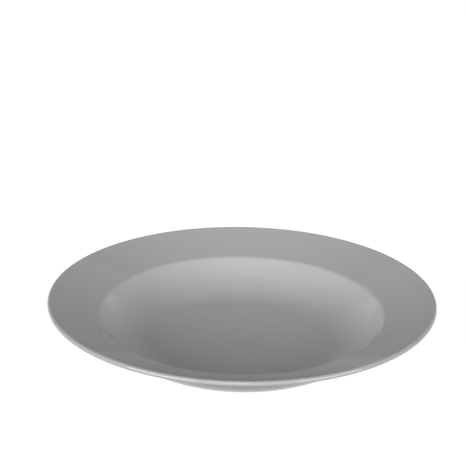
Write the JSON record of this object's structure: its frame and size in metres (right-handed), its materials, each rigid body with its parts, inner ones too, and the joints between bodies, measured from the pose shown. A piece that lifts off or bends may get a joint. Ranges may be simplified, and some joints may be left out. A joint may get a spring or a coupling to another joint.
{
  "type": "pasta plate",
  "caption": "Deep round pasta plate with a wide sloping rim, a smooth dished well and a foot ring, in plain grey glazed porcelain.",
  "frame": {"origin": "on the plate's axis, in the plane of the foot ring's bearing face, so the plate stands on z = 0", "axes": "+Z is the axis of the plate and points up out of the well; X and Y lie in the table's plane and are alike, because the plate is round"},
  "size_m": [0.3, 0.3, 0.0529],
  "materials": {
    "bisque": "bare fired porcelain, smooth and matt, seen only on the wiped base of the foot ring",
    "glaze": "even mid grey glaze, glossy, with the faint waviness of a dipped glaze"
  },
  "bodies": {
    "root": {"porcelain_body": "bisque", "glaze_coat": "glaze", "foot_recess_glaze": "glaze"}
  },
  "joints": []
}
